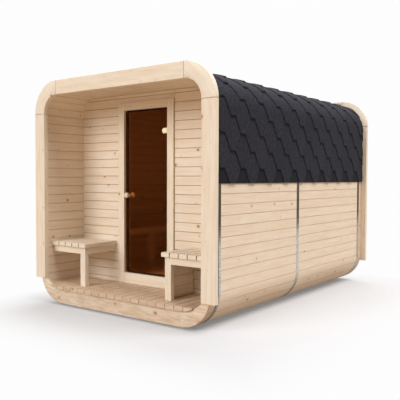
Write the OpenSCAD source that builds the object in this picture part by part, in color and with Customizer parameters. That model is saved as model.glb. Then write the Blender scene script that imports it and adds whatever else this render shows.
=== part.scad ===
// Garden sauna: a square barrel of staves with rounded corners, an open porch and a glass door.
// X runs across the front, Y runs from the porch to the back, Z runs up from the ground.
// The origin is on the ground, under the middle of the building.

/* [Overall] */
// Width over the end trims
width = 2270; // [1900:10:2730]
// Length over the end trims
length = 3286; // [2700:2:3950]
// Height from the ground to the top of the trims
height = 2247; // [1980:1:2700]

/* [Shell] */
// Thickness of the staves
stave_t = 60; // [45:1:75]
// Outside radius of the four long corners
corner_r = 310; // [255:5:375]
// Height of the bearers that keep the floor off the ground
bearer_h = 20; // [15:1:60]
// Width of a bearer
bearer_w = 95; // [70:5:150]

/* [End trims] */
// How far the trims stand proud of the staves
trim_proud = 60; // [20:1:72]
// Face width of the trims
trim_w = 142; // [118:1:171]
// Thickness of the front trim
trim_t = 48; // [40:1:60]
// Thickness of the rear trim
rear_trim_t = 46; // [38:1:60]
// Outside radius of the curved trim pieces
trim_r = 324; // [270:1:390]
// Height of the post feet above the underside of the floor staves
post_foot = 235; // [195:1:285]
// Thickness of the sill under the porch floor
sill_t = 28; // [20:1:40]

/* [Porch] */
// Depth of the porch, from the front trim to the front wall
porch_d = 545; // [450:5:700]
// Height of the porch floor above the underside of the floor staves
porch_floor_h = 180; // [150:1:216]
// Thickness of the floor and seat boards
board_t = 40; // [30:1:45]
// Height of a seat above the porch floor
seat_h = 425; // [350:5:520]
// Width of the left bench
left_bench_w = 507; // [420:1:530]
// Width of the right bench
right_bench_w = 537; // [440:1:560]
// Distance from the front trim to the benches
bench_setback = 104; // [85:1:140]
// Width of the bench slats
slat_w = 92; // [70:1:130]
// Gap between the slats
slat_gap = 7; // [4:1:12]
// Height of the bench rails
rail_h = 65; // [50:1:80]
// Thickness of the bench rails
rail_t = 45; // [35:1:55]
// Width of a bench leg
leg_w = 70; // [50:1:85]
// How far the seat overhangs its rails
seat_overhang = 24; // [10:1:35]

/* [Walls and door] */
// Thickness of the front and rear walls
wall_t = 60; // [50:1:80]
// Distance of the rear wall from the back end of the staves
rear_recess = 60; // [20:5:150]
// Distance of the doorway's middle from the building's middle, to the left
door_shift = 98; // [70:0.5:105]
// Width of the doorway inside its frame
door_w = 575; // [480:1:645]
// Height of the wall that is left over the door frame
over_door_h = 83; // [60:1:125]
// Face width of the door frame
frame_w = 79; // [60:1:88]
// Height of the threshold above the porch floor
threshold_h = 106; // [85:1:130]
// How far the door frame stands proud of the wall
frame_proud = 18; // [10:1:25]
// Depth of the glass behind the face of the frame
glass_inset = 22; // [20:1:30]
// Thickness of the door glass
glass_t = 8; // [6:1:9]
// Running gap between the glass and its frame
glass_gap = 6; // [5:0.5:8]
// Width of the stop that the glass closes against
stop_w = 12; // [9:1:14]
// Radius of the door knobs
knob_r = 28; // [22:1:31]
// Height of the knobs above the threshold
knob_h = 797; // [680:1:900]
// Distance of the hinges from the ends of the doorway
hinge_inset = 225; // [180:1:270]

/* [Room] */
// Height of the room floor above the underside of the floor staves
room_floor_h = 240; // [200:1:280]
// Depth of the sauna bench
room_bench_d = 400; // [330:5:480]
// Height of the sauna bench above the room floor
room_bench_h = 455; // [380:5:540]
// Thickness of the sauna bench boards
room_board_t = 28; // [22:1:34]

/* [Bands and roofing] */
// Width of a steel band
band_w = 50; // [40:1:60]
// Thickness of a steel band
band_t = 1.5; // [1:0.1:3]
// Distance of the front band from the front end of the staves
front_band_inset = 70; // [50:1:120]
// Distance of the rear band from the rear end of the staves
rear_band_inset = 82; // [50:1:120]
// Distance of the middle band in front of the staves' middle
middle_band_shift = 107; // [60:1:130]
// Thickness of the roof shingles
shingle_t = 14; // [8:1:20]
// Height of the shingles' lower edge above the underside of the floor staves
shingle_edge_h = 1217; // [1010:1:1460]

/* [Hidden] */
$fn = 96;

// Clearance between a curved face and what fits to it
fit = 0.3;

// Ends of the building and of its staves
y_front = -length / 2;
y_rear = length / 2;
stave_y0 = y_front + trim_t;
stave_y1 = y_rear - rear_trim_t;
sill_y0 = stave_y0 - sill_t;

// Outside and inside faces of the shell
shell_x = width / 2 - trim_proud;
shell_z0 = bearer_h;
shell_z1 = height - trim_proud;
room_x = shell_x - stave_t;
// The corner staves are hollowed to a tighter curve inside
hollow = 60;
inner_r = corner_r - stave_t - hollow;

// Centres of the corner arcs
corner_x = shell_x - corner_r;
low_z = shell_z0 + corner_r;
high_z = shell_z1 - corner_r;

// Trims
trim_cx = width / 2 - trim_r;
trim_cz = height - trim_r;
post_z = shell_z0 + post_foot;

// Floors
porch_z = shell_z0 + porch_floor_h;
room_z = shell_z0 + room_floor_h;
sill_h = porch_floor_h - board_t;
// The arc of the sill corners starts level under the floor boards and ends at the posts' inner edge
sill_rise = post_foot - sill_h;
sill_run = width / 2 - trim_w - corner_x;
sill_arc_r = (sill_run * sill_run + sill_rise * sill_rise) / (2 * sill_rise);
sill_arc_z = shell_z0 + sill_h + sill_arc_r;
joist_w = 45;
joist_x = corner_x - 60;

// Walls
wall_y0 = y_front + porch_d;
wall_y1 = wall_y0 + wall_t;
rear_wall_y1 = stave_y1 - rear_recess;
rear_wall_y0 = rear_wall_y1 - wall_t;

// Doorway
door_x0 = -door_shift - door_w / 2;
door_x1 = -door_shift + door_w / 2;
frame_x0 = door_x0 - frame_w;
frame_x1 = door_x1 + frame_w;
frame_y0 = wall_y0 - frame_proud;
door_z0 = porch_z + threshold_h;
frame_z1 = shell_z1 - stave_t - over_door_h;
door_z1 = frame_z1 - frame_w;
glass_y0 = frame_y0 + glass_inset;
glass_y1 = glass_y0 + glass_t;
stop_gap = 5;
stop_y0 = glass_y1 + stop_gap;

// Hinge pins stand in front of the glass, beside the right jamb
pin_x = door_x1 - 12;
pin_y = glass_y0 - 14;
pin_r = 3;
knuckle_r = 7;
knuckle_h = 17;
plate_t = 3;
plate_h = 56;
clamp_r = 27;
clamp_t = 6;
clamp_x = pin_x - 36;
hinge_z = [door_z0 + hinge_inset, door_z1 - hinge_inset];

// Knobs
knob_x = door_x0 + stop_w + knob_r + 20;
knob_z = door_z0 + knob_h;
knob_reach = 38;
knob_neck_r = 8;
knob_bolt_r = 4;

// Porch benches
seat_z = porch_z + seat_h;
bench_y0 = y_front + bench_setback;

// Sauna bench
room_seat_z = room_z + room_bench_h;
room_bench_x1 = -room_x + room_bench_d;
room_rail_h = 40;
room_slats = 4;
room_slat_gap = 10;
room_legs = 3;
room_leg_pitch = (rear_wall_y0 - wall_y1) / (room_legs + 1);

// Front edge of each band
band_y = [
    stave_y0 + front_band_inset,
    (stave_y0 + stave_y1 - band_w) / 2 - middle_band_shift,
    stave_y1 - rear_band_inset - band_w
];

// Backrest
backrest_h = 55;
backrest_t = 28;
backrest_z = [655, 800];
batten_t = 25;
batten_w = 60;
batten_end = 30;

// Turns a profile drawn in X and Z into a solid that runs from y0 to y1.
module run_y(y0, y1) {
    translate([0, y1, 0]) rotate([90, 0, 0]) linear_extrude(y1 - y0) children();
}

// A box given by its lowest and highest corners.
module block(low, high) {
    translate(low) cube(high - low);
}

// Outline of the shell, moved in by a depth, or out where the depth is negative.
module shell_outline(depth) {
    translate([-corner_x, shell_z0 + depth])
        square([2 * corner_x, shell_z1 - shell_z0 - 2 * depth]);
    translate([-shell_x + depth, low_z])
        square([2 * (shell_x - depth), high_z - low_z]);
    for (x = [-corner_x, corner_x], z = [low_z, high_z])
        translate([x, z]) circle(corner_r - depth);
}

// Outline of the space inside the shell, less a gap all round.
module room_outline(gap) {
    mid_x = room_x - inner_r;
    z0 = shell_z0 + stave_t;
    z1 = shell_z1 - stave_t;
    translate([-mid_x, z0 + gap]) square([2 * mid_x, z1 - z0 - 2 * gap]);
    translate([-room_x + gap, z0 + inner_r])
        square([2 * (room_x - gap), z1 - z0 - 2 * inner_r]);
    for (x = [-mid_x, mid_x], z = [z0 + inner_r, z1 - inner_r])
        translate([x, z]) circle(inner_r - gap);
}

// A quarter of a disc round the origin, in the quadrant that the two signs give.
module quarter_disc(r, side, up) {
    intersection() {
        circle(r);
        translate([side > 0 ? 0 : -r, up > 0 ? 0 : -r]) square(r);
    }
}

// One slice of the space inside the shell, between two heights.
module floor_slice(z0, z1) {
    intersection() {
        room_outline(fit);
        translate([-shell_x, z0]) square([2 * shell_x, z1 - z0]);
    }
}

// ---- Shell ----

module bearers() {
    color("dimgray")
        for (y = [stave_y0 + 180, -350, 350, stave_y1 - 260])
            block([-corner_x + 60, y, 0], [corner_x - 60, y + bearer_w, bearer_h]);
}

module floor_staves() {
    color("burlywood")
        block([-corner_x, stave_y0, shell_z0], [corner_x, stave_y1, shell_z0 + stave_t]);
}

module wall_staves(side) {
    color("burlywood")
        translate([side > 0 ? room_x : -shell_x, stave_y0, low_z])
            cube([stave_t, stave_y1 - stave_y0, high_z - low_z]);
}

module left_wall_staves() {
    wall_staves(-1);
}

module right_wall_staves() {
    wall_staves(1);
}

module roof_staves() {
    color("burlywood")
        block([-corner_x, stave_y0, shell_z1 - stave_t], [corner_x, stave_y1, shell_z1]);
}

module corner_staves(side, up) {
    color("burlywood")
        run_y(stave_y0, stave_y1)
            difference() {
                translate([side * corner_x, up > 0 ? high_z : low_z])
                    quarter_disc(corner_r, side, up);
                room_outline(0);
            }
}

module lower_left_corner() {
    corner_staves(-1, -1);
}

module lower_right_corner() {
    corner_staves(1, -1);
}

module upper_left_corner() {
    corner_staves(-1, 1);
}

module upper_right_corner() {
    corner_staves(1, 1);
}

// ---- End trims ----

module posts(y0, y1) {
    color("wheat")
        for (side = [-1, 1])
            translate([side > 0 ? width / 2 - trim_w : -width / 2, y0, post_z])
                cube([trim_w, y1 - y0, trim_cz - post_z]);
}

module arches(y0, y1) {
    color("wheat")
        for (side = [-1, 1])
            run_y(y0, y1)
                translate([side * trim_cx, trim_cz])
                    difference() {
                        quarter_disc(trim_r, side, 1);
                        circle(trim_r - trim_w);
                    }
}

module top_board(y0, y1) {
    color("wheat") block([-trim_cx, y0, height - trim_w], [trim_cx, y1, height]);
}

module front_posts() {
    posts(y_front, stave_y0);
}

module front_arches() {
    arches(y_front, stave_y0);
}

module front_top_board() {
    top_board(y_front, stave_y0);
}

module rear_posts() {
    posts(stave_y1, y_rear);
}

module rear_arches() {
    arches(stave_y1, y_rear);
}

module rear_top_board() {
    top_board(stave_y1, y_rear);
}

// The sill covers the ends of the floor staves, between the feet of the posts.
module front_sill() {
    color("burlywood")
        block([-corner_x, sill_y0, shell_z0], [corner_x, stave_y0, shell_z0 + sill_h]);
}

// From each end of the sill a curved piece rises to the foot of the post.
module sill_corners() {
    color("burlywood")
        for (side = [-1, 1])
            run_y(sill_y0, stave_y0)
                difference() {
                    translate([side * corner_x, low_z]) quarter_disc(corner_r, side, -1);
                    translate([side * corner_x, sill_arc_z]) circle(sill_arc_r);
                    translate([-width, post_z]) square([2 * width, height]);
                    translate([-corner_x, 0]) square([2 * corner_x, height]);
                }
}

// ---- Floors ----

// Long joists carry both floors.
module floor_joists() {
    color("tan")
        for (x = [-joist_x, 0, joist_x]) {
            block([x - joist_w / 2, stave_y0, shell_z0 + stave_t],
                  [x + joist_w / 2, wall_y0, porch_z - board_t]);
            block([x - joist_w / 2, wall_y1, shell_z0 + stave_t],
                  [x + joist_w / 2, rear_wall_y0, room_z - board_t]);
        }
}

// The porch boards run out over the sill, up to the face of the posts.
module porch_floor() {
    color("burlywood") {
        run_y(stave_y0, wall_y0) floor_slice(porch_z - board_t, porch_z);
        run_y(y_front, stave_y0)
            intersection() {
                translate([-shell_x, porch_z - board_t]) square([2 * shell_x, board_t]);
                union() {
                    translate([-corner_x, 0]) square([2 * corner_x, height]);
                    for (side = [-1, 1])
                        translate([side * corner_x, sill_arc_z]) circle(sill_arc_r - fit);
                }
            }
    }
}

module room_floor() {
    color("tan")
        run_y(wall_y1, rear_wall_y0) floor_slice(room_z - board_t, room_z);
}

// ---- Front and rear walls ----

// The part of the front wall between two widths and two heights.
module front_wall_part(x0, x1, z0, z1) {
    color("burlywood")
        run_y(wall_y0, wall_y1)
            intersection() {
                room_outline(fit);
                translate([x0, z0]) square([x1 - x0, z1 - z0]);
            }
}

module front_wall_left() {
    front_wall_part(-shell_x, frame_x0, 0, height);
}

module front_wall_right() {
    front_wall_part(frame_x1, shell_x, 0, height);
}

module front_wall_over_door() {
    front_wall_part(frame_x0, frame_x1, frame_z1, height);
}

module front_wall_under_door() {
    front_wall_part(frame_x0, frame_x1, 0, porch_z);
}

module rear_wall() {
    color("burlywood") run_y(rear_wall_y0, rear_wall_y1) room_outline(fit);
}

// ---- Door frame ----

// A jamb with the stop on the side that faces the doorway.
module jamb(side) {
    x = side > 0 ? door_x1 : door_x0;
    color("wheat")
        translate([x, 0, porch_z])
            linear_extrude(frame_z1 - porch_z)
                polygon([
                    [side * frame_w, frame_y0], [0, frame_y0],
                    [0, stop_y0], [-side * stop_w, stop_y0],
                    [-side * stop_w, wall_y1], [side * frame_w, wall_y1]
                ]);
}

module door_jamb_left() {
    jamb(-1);
}

module door_jamb_right() {
    jamb(1);
}

module door_head() {
    color("wheat") {
        block([door_x0, frame_y0, door_z1], [door_x1, stop_y0, frame_z1]);
        block([door_x0 + stop_w, stop_y0, door_z1 - stop_w], [door_x1 - stop_w, wall_y1, frame_z1]);
    }
}

module door_threshold() {
    color("wheat") {
        block([door_x0, frame_y0, porch_z], [door_x1, stop_y0, door_z0]);
        block([door_x0 + stop_w, stop_y0, porch_z], [door_x1 - stop_w, wall_y1, door_z0 + stop_w]);
    }
}

// ---- Door ----

module door_glass() {
    color([0.45, 0.3, 0.2, 0.6])
        difference() {
            block([door_x0 + glass_gap, glass_y0, door_z0 + glass_gap],
                  [door_x1 - glass_gap, glass_y1, door_z1 - glass_gap]);
            translate([knob_x, glass_y0 - 1, knob_z]) rotate([-90, 0, 0])
                cylinder(r = knob_bolt_r + 1, h = glass_t + 2);
            for (z = hinge_z)
                translate([clamp_x, glass_y0 - 1, z]) rotate([-90, 0, 0])
                    cylinder(r = knob_bolt_r + 1, h = glass_t + 2);
        }
}

// A turned knob with its neck, standing on the plane z = 0.
module turned_knob() {
    rotate_extrude() {
        square([knob_neck_r, knob_reach]);
        intersection() {
            translate([0, knob_reach]) circle(knob_r);
            translate([0, knob_reach - 0.8 * knob_r]) square([knob_r, 1.7 * knob_r]);
        }
    }
}

module door_knobs() {
    color("tan") {
        translate([knob_x, glass_y0, knob_z]) rotate([90, 0, 0]) turned_knob();
        translate([knob_x, glass_y1, knob_z]) rotate([-90, 0, 0]) turned_knob();
        translate([knob_x, glass_y0 - 1, knob_z]) rotate([-90, 0, 0])
            cylinder(r = knob_bolt_r, h = glass_t + 2);
    }
}

// The moving half of a hinge: two discs bolted through the glass, an arm and the middle knuckle.
module hinge_clamp(z) {
    difference() {
        union() {
            translate([clamp_x, glass_y0, z]) rotate([90, 0, 0]) cylinder(r = clamp_r, h = clamp_t);
            translate([clamp_x, glass_y1 + clamp_t, z]) rotate([90, 0, 0])
                cylinder(r = clamp_r, h = clamp_t);
            translate([clamp_x, glass_y1 + 1, z]) rotate([90, 0, 0])
                cylinder(r = knob_bolt_r, h = glass_t + 2);
            block([clamp_x, pin_y + 2, z - knuckle_h / 2], [pin_x, glass_y0 - 2, z + knuckle_h / 2]);
            translate([pin_x, pin_y, z - knuckle_h / 2]) cylinder(r = knuckle_r, h = knuckle_h);
        }
        translate([pin_x, pin_y, z - knuckle_h]) cylinder(r = pin_r + 0.3, h = 2 * knuckle_h);
    }
}

module door_hinge_clamps() {
    color("goldenrod")
        for (z = hinge_z)
            hinge_clamp(z);
}

// The fixed half of a hinge: a plate on the jamb, two knuckles and the pin.
module door_hinge_knuckles() {
    color("goldenrod")
        for (z = hinge_z) {
            block([door_x1 - plate_t, pin_y - knuckle_r, z - plate_h / 2],
                  [door_x1, pin_y + 8, z + plate_h / 2]);
            for (end = [-1, 1])
                translate([pin_x, pin_y, z + end * (knuckle_h + 1) - knuckle_h / 2]) {
                    cylinder(r = knuckle_r, h = knuckle_h);
                    translate([0, -4, 0]) cube([door_x1 - pin_x, 8, knuckle_h]);
                }
            translate([pin_x, pin_y, z - plate_h / 2]) cylinder(r = pin_r, h = plate_h);
        }
}

// ---- Porch benches ----

left_bench_x1 = -room_x + left_bench_w;
right_bench_x0 = room_x - right_bench_w;
rail_z0 = seat_z - board_t - rail_h;
front_rail_y = bench_y0 + seat_overhang;

// The seat slats run from front to back. The last one is ripped to fit at the side wall.
module bench_seat(side, free_x, seat_w) {
    pitch = slat_w + slat_gap;
    slats = ceil(seat_w / pitch - 0.25);
    color("wheat")
        for (i = [0 : slats - 1]) {
            x0 = i * pitch;
            x1 = i < slats - 1 ? x0 + slat_w : seat_w;
            block([free_x + (side > 0 ? x0 : -x1), bench_y0, seat_z - board_t],
                  [free_x + (side > 0 ? x1 : -x0), wall_y0, seat_z]);
        }
}

module left_bench_seat() {
    bench_seat(-1, left_bench_x1, left_bench_w);
}

module right_bench_seat() {
    bench_seat(1, right_bench_x0, right_bench_w);
}

// Each bench has a rail across its front and another along the front wall.
module bench_cross_rails() {
    color("wheat")
        for (y = [front_rail_y, wall_y0 - rail_t]) {
            block([-room_x, y, rail_z0], [left_bench_x1 - seat_overhang, y + rail_t, rail_z0 + rail_h]);
            block([right_bench_x0 + seat_overhang, y, rail_z0], [room_x, y + rail_t, rail_z0 + rail_h]);
        }
}

// A rail joins the two cross rails at the bench's free end.
module bench_side_rails() {
    color("wheat")
        for (x = [left_bench_x1 - seat_overhang - rail_t, right_bench_x0 + seat_overhang])
            block([x, front_rail_y + rail_t, rail_z0],
                  [x + rail_t, wall_y0 - rail_t, rail_z0 + rail_h]);
}

module bench_legs() {
    color("wheat")
        for (x = [left_bench_x1 - seat_overhang - leg_w, right_bench_x0 + seat_overhang])
            block([x, front_rail_y, porch_z], [x + leg_w, front_rail_y + rail_t, rail_z0]);
}

// ---- Sauna bench ----

// Front of the leg with the given number, counted from the porch.
function room_leg_y(i) = wall_y1 + i * room_leg_pitch - leg_w / 2;

module room_bench_seat() {
    slat = (room_bench_d - (room_slats - 1) * room_slat_gap) / room_slats;
    color("peru")
        for (i = [0 : room_slats - 1])
            translate([-room_x + i * (slat + room_slat_gap), wall_y1, room_seat_z - room_board_t])
                cube([slat, rear_wall_y0 - wall_y1, room_board_t]);
}

// Long rail under the front edge of the seat.
module room_bench_rail() {
    color("peru")
        block([room_bench_x1 - 10 - joist_w, wall_y1, room_seat_z - room_board_t - room_rail_h],
              [room_bench_x1 - 10, rear_wall_y0, room_seat_z - room_board_t]);
}

// Bar along the wall under the back edge of the seat, and cross bars from it to the rail.
module room_bench_bars() {
    z0 = room_seat_z - room_board_t - room_rail_h;
    color("peru") {
        block([-room_x, wall_y1, z0], [-room_x + joist_w, rear_wall_y0, z0 + room_rail_h]);
        for (i = [1 : room_legs])
            translate([-room_x + joist_w, room_leg_y(i), z0])
                cube([room_bench_d - 10 - 2 * joist_w, joist_w, room_rail_h]);
    }
}

module room_bench_legs() {
    color("peru")
        for (i = [1 : room_legs])
            translate([room_bench_x1 - 10 - joist_w, room_leg_y(i), room_z])
                cube([joist_w, leg_w, room_bench_h - room_board_t - room_rail_h]);
}

// Two boards to lean on, held off the wall by battens.
module room_backrest_boards() {
    color("peru")
        for (z = backrest_z)
            translate([-room_x + batten_t, wall_y1, room_z + z])
                cube([backrest_t, rear_wall_y0 - wall_y1, backrest_h]);
}

module room_backrest_battens() {
    color("peru")
        for (i = [1 : room_legs])
            translate([-room_x, room_leg_y(i), room_z + backrest_z[0] - batten_end])
                cube([batten_t, batten_w, backrest_z[1] - backrest_z[0] + backrest_h + 2 * batten_end]);
}

// ---- Bands and roofing ----

// Steel bands round the shell.
module steel_bands() {
    color("silver")
        for (y = band_y)
            run_y(y, y + band_w)
                difference() {
                    shell_outline(-band_t);
                    shell_outline(0);
                }
}

// The shingles lie on the bands and run down both walls to the same height.
module roof_shingles() {
    color("#35363a")
        run_y(stave_y0, stave_y1)
            difference() {
                shell_outline(-band_t - shingle_t);
                shell_outline(-band_t);
                translate([-width, 0]) square([2 * width, shell_z0 + shingle_edge_h]);
            }
}

bearers();
floor_staves();
left_wall_staves();
right_wall_staves();
roof_staves();
lower_left_corner();
lower_right_corner();
upper_left_corner();
upper_right_corner();
front_posts();
front_arches();
front_top_board();
rear_posts();
rear_arches();
rear_top_board();
front_sill();
sill_corners();
floor_joists();
porch_floor();
room_floor();
front_wall_left();
front_wall_right();
front_wall_over_door();
front_wall_under_door();
rear_wall();
door_jamb_left();
door_jamb_right();
door_head();
door_threshold();
door_glass();
door_knobs();
door_hinge_clamps();
door_hinge_knuckles();
left_bench_seat();
right_bench_seat();
bench_cross_rails();
bench_side_rails();
bench_legs();
room_bench_seat();
room_bench_rail();
room_bench_legs();
room_bench_bars();
room_backrest_boards();
room_backrest_battens();
steel_bands();
roof_shingles();
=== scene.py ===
# %% [markdown]
# # A garden sauna
# The building is a square barrel: long staves with rounded corners, held by steel bands, with a proud
# trim at each end, an open porch, a tinted glass door and a roof of shingles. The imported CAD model
# gives every size and place. This script reads them and builds the finished look of each piece.

# %% Load the frame
import math
import random

import bmesh
import bpy
from mathutils import Matrix, Vector


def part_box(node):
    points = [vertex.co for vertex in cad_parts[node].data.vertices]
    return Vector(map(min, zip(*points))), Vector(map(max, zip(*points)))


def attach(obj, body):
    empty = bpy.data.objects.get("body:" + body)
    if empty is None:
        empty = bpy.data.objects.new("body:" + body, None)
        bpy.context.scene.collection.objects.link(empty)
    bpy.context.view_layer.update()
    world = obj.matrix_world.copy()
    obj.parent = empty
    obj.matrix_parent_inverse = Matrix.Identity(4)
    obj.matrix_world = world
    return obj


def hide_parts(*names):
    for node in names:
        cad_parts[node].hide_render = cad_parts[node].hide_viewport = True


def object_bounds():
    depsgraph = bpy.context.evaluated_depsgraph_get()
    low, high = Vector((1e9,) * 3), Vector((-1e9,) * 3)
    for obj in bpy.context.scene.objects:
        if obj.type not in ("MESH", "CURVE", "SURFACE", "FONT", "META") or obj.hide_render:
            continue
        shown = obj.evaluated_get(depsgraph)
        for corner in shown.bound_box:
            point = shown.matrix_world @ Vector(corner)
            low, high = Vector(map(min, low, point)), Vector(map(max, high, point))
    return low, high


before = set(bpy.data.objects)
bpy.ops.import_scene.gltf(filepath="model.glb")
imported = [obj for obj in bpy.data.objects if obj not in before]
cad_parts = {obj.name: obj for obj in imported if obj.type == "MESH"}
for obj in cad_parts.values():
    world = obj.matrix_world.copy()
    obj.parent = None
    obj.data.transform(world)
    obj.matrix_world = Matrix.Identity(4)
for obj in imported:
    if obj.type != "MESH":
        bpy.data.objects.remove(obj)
cad_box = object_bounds()
print("CAD nodes:", len(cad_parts), "box:", [tuple(round(v, 3) for v in c) for c in cad_box])

# %% [markdown]
# Colours are written as the sRGB hex values a paint chart would give. Blender mixes light in linear
# values, so one function turns each colour over. Another small function adds a node to any tree, sets
# its values and links its sockets, so that a tree reads from top to bottom as a recipe.

# %% Colours and nodes


def colour(code):
    """The linear colour of an sRGB hex code such as #E8D0A9."""
    parts = [int(code[i : i + 2], 16) / 255 for i in (1, 3, 5)]
    return [v / 12.92 if v <= 0.04045 else ((v + 0.055) / 1.055) ** 2.4 for v in parts] + [1.0]


def node(tree, kind, inputs=None, **settings):
    """Adds a node; the ShaderNode in front of a kind is left out. inputs maps a socket's name or
    number to a value, or to the socket or the node that is linked to it."""
    made = tree.nodes.new(kind if "Node" in kind else "ShaderNode" + kind)
    for name, value in settings.items():
        setattr(made, name, value)
    for key, value in (inputs or {}).items():
        if isinstance(value, bpy.types.Node):
            value = next(socket for socket in value.outputs if socket.enabled)
        if isinstance(value, bpy.types.NodeSocket):
            tree.links.new(value, made.inputs[key])
        else:
            made.inputs[key].default_value = value
    return made


def finish(name, recipe, *values, **settings):
    """A new material. Its recipe adds the nodes of the finish to a tree and returns the last one."""
    made = bpy.data.materials.new(name)
    made.use_nodes = True
    made.node_tree.nodes.clear()
    node(made.node_tree, "OutputMaterial", {"Surface": recipe(made.node_tree, *values, **settings)})
    return made


def add_object(name, data):
    """An object with this data, at the origin of the scene."""
    made = bpy.data.objects.new(name, data)
    bpy.context.scene.collection.objects.link(made)
    return made


print("helpers: colour, node, finish and add_object; white is", colour("#FFFFFF"))

# %% [markdown]
# ## Planed spruce
# The whole building is planed Nordic spruce, untreated: a pale, creamy softwood with narrow darker
# rings of summer growth that run along each board, a few small brown knots, and a soft satin surface.
# A board is sawn from its own piece of the tree, so no two neighbours match. Each board therefore
# carries its own flat grain map, measured in metres along and across it, and its own number, and
# the pattern is drawn on those and not on the room's axes. Rings really lie 1 to 3 mm apart, too fine
# to show from across a garden, so they are drawn 8 mm apart here.

# %% Knots and grooves
KNOT_SPACING = 0.2
KNOT_RADIUS = 0.012
KNOTS_LEFT_OUT = 0.55
GROOVE_LIP, GROOVE_BOTTOM = "#B9803E", "#3A1C08"


def with_knots(tree, plank, wood, ring, knot):
    """Wood with knots, a little longer than wide. Most places on the plank have none."""
    squeezed = node(tree, "Mapping", {"Vector": plank, "Scale": (0.75, 1.0, 1.0)})
    knots = node(tree, "TexVoronoi", {
        "Vector": squeezed, "Scale": 1 / KNOT_SPACING}, voronoi_dimensions="2D")
    luck = node(tree, "SeparateColor", {0: knots.outputs["Color"]})
    radius = node(tree, "MapRange", {
        "Value": luck.outputs["Green"], "From Min": KNOTS_LEFT_OUT, "To Min": -0.02,
        "To Max": KNOT_RADIUS / KNOT_SPACING})
    depth = node(tree, "Math", {0: radius, 1: knots.outputs["Distance"]}, operation="SUBTRACT")
    halo = node(tree, "MapRange", {"Value": depth, "From Min": -0.09, "From Max": 0.01, "To Max": 0.7})
    around = node(tree, "Mix", {"Factor": halo, "A": wood, "B": colour(ring)}, data_type="RGBA")
    inside = node(tree, "MapRange", {
        "Value": depth, "From Min": -0.012, "From Max": 0.015, "To Max": 0.85})
    return node(tree, "Mix", {"Factor": inside, "A": around, "B": colour(knot)}, data_type="RGBA")


def with_grooves(tree, wood):
    """Wood with shade in the grooves between boards, honey brown at their lips and dark in the deep."""
    crease = node(tree, "Attribute", attribute_name="crease").outputs["Fac"]
    warm = node(tree, "Mix", {"Factor": crease, "A": wood, "B": colour(GROOVE_LIP)}, data_type="RGBA")
    deep = node(tree, "Math", {0: crease, 1: crease}, operation="MULTIPLY")
    return node(tree, "Mix", {
        "Factor": deep, "A": warm, "B": colour(GROOVE_BOTTOM)}, data_type="RGBA")


print("places with a knot, in 100:", round(100 * (1 - KNOTS_LEFT_OUT)))

# %% Spruce
RING_GAP = 0.008
GRAIN_STRETCH = 0.07
STREAKS_PER_METRE, PATCHES_PER_METRE = 42.0, 13.0
PLANK_SPREAD = (97.0, 31.0, 5.0)


def spruce(tree, cream, rosy, ring, knot, ring_share=0.6, stretch=GRAIN_STRETCH, knotty=True):
    """Wood in two pale tones with darker rings. stretch is how drawn out the figure is along a board."""
    grain = node(tree, "UVMap", uv_map="grain")
    number = node(tree, "Attribute", attribute_name="board").outputs["Fac"]
    # Each board looks at its own part of one endless plank.
    moved = node(tree, "VectorMath", {0: PLANK_SPREAD, "Scale": number}, operation="SCALE")
    plank = node(tree, "VectorMath", {0: grain, 1: moved})
    along = node(tree, "Mapping", {"Vector": plank, "Scale": (stretch, 1.0, 1.0)})
    rings = node(tree, "TexWave", {
        "Vector": along, "Scale": math.pi / 10 / RING_GAP, "Distortion": 22.0, "Detail": 3.0,
        "Detail Scale": 0.25}, bands_direction="Y").outputs["Fac"]
    streaks = node(tree, "TexNoise", {
        "Vector": along, "Scale": STREAKS_PER_METRE, "Detail": 4.0, "Roughness": 0.55})
    figure = node(tree, "Mix", {"Factor": 0.75, "A": rings, "B": streaks})
    share = node(tree, "MapRange", {
        "Value": figure, "From Min": 0.36, "From Max": 0.68, "To Max": ring_share})
    # One board is creamy and the next a little rosy, and each has soft patches of both.
    mixed = node(tree, "Math", {0: number, 1: 13.7}, operation="MULTIPLY")
    own_tone = node(tree, "Math", {0: mixed}, operation="FRACT")
    stretched = node(tree, "Mapping", {"Vector": plank, "Scale": (0.5, 1.0, 1.0)})
    patches = node(tree, "TexNoise", {"Vector": stretched, "Scale": PATCHES_PER_METRE, "Detail": 3.0})
    patchy = node(tree, "MapRange", {"Value": patches, "From Min": 0.3, "From Max": 0.7})
    tone = node(tree, "Mix", {"Factor": 0.6, "A": own_tone, "B": patchy})
    pale = node(tree, "Mix", {"Factor": tone, "A": colour(cream), "B": colour(rosy)}, data_type="RGBA")
    wood = node(tree, "Mix", {"Factor": share, "A": pale, "B": colour(ring)}, data_type="RGBA")
    if knotty:
        wood = with_knots(tree, plank, wood, ring, knot)
    relief = node(tree, "Bump", {"Strength": 0.15, "Distance": 0.0005, "Height": share})
    return node(tree, "BsdfPrincipled", {
        "Base Color": with_grooves(tree, wood), "Roughness": 0.6, "Normal": relief})


print("rings:", 1000 * RING_GAP, "mm apart")
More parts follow.
